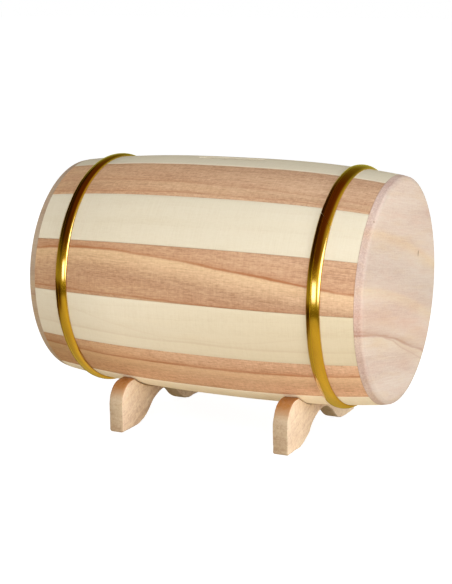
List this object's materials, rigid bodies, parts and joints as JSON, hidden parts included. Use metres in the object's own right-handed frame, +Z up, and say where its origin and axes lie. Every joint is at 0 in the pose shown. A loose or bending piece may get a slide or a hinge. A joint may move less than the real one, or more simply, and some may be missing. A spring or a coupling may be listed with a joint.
{
  "type": "wooden barrel coin bank",
  "caption": "Small wooden barrel bank of alternating pale and brown staves on scroll-cut feet, with golden hoops, a coin slot and a soft pull-out stopper.",
  "frame": {"origin": "on the ground the feet stand on, straight below the middle of the barrel", "axes": "+X along the barrel's axis towards the right head, +Z up, -Y towards the front"},
  "size_m": [0.146, 0.1, 0.1125],
  "materials": {
    "pale_wood": "sanded, clear satin",
    "brown_wood": "sanded, clear satin",
    "head_wood": "sanded, bare",
    "cradle_wood": "sawn and sanded, bare",
    "golden_metal": "polished",
    "black_rubber": "matte"
  },
  "bodies": {
    "barrel": {"stave_01": "pale_wood", "stave_02": "brown_wood", "stave_03": "pale_wood", "stave_04": "brown_wood", "stave_05": "pale_wood", "stave_06": "brown_wood", "stave_07": "pale_wood", "stave_08": "brown_wood", "stave_09": "pale_wood", "stave_10": "brown_wood", "stave_11": "pale_wood", "stave_12": "brown_wood", "stave_13": "pale_wood", "stave_14": "brown_wood", "left_head": "head_wood", "right_head": "head_wood", "left_hoop": "golden_metal", "right_hoop": "golden_metal", "left_cradle": "cradle_wood", "right_cradle": "cradle_wood"},
    "stopper": {"stopper": "black_rubber"}
  },
  "joints": [
    {"name": "stopper_pull", "type": "slide", "parent": "barrel", "child": "stopper", "axis": [-1, 0, 0], "range_m": [0, 0.014]}
  ]
}
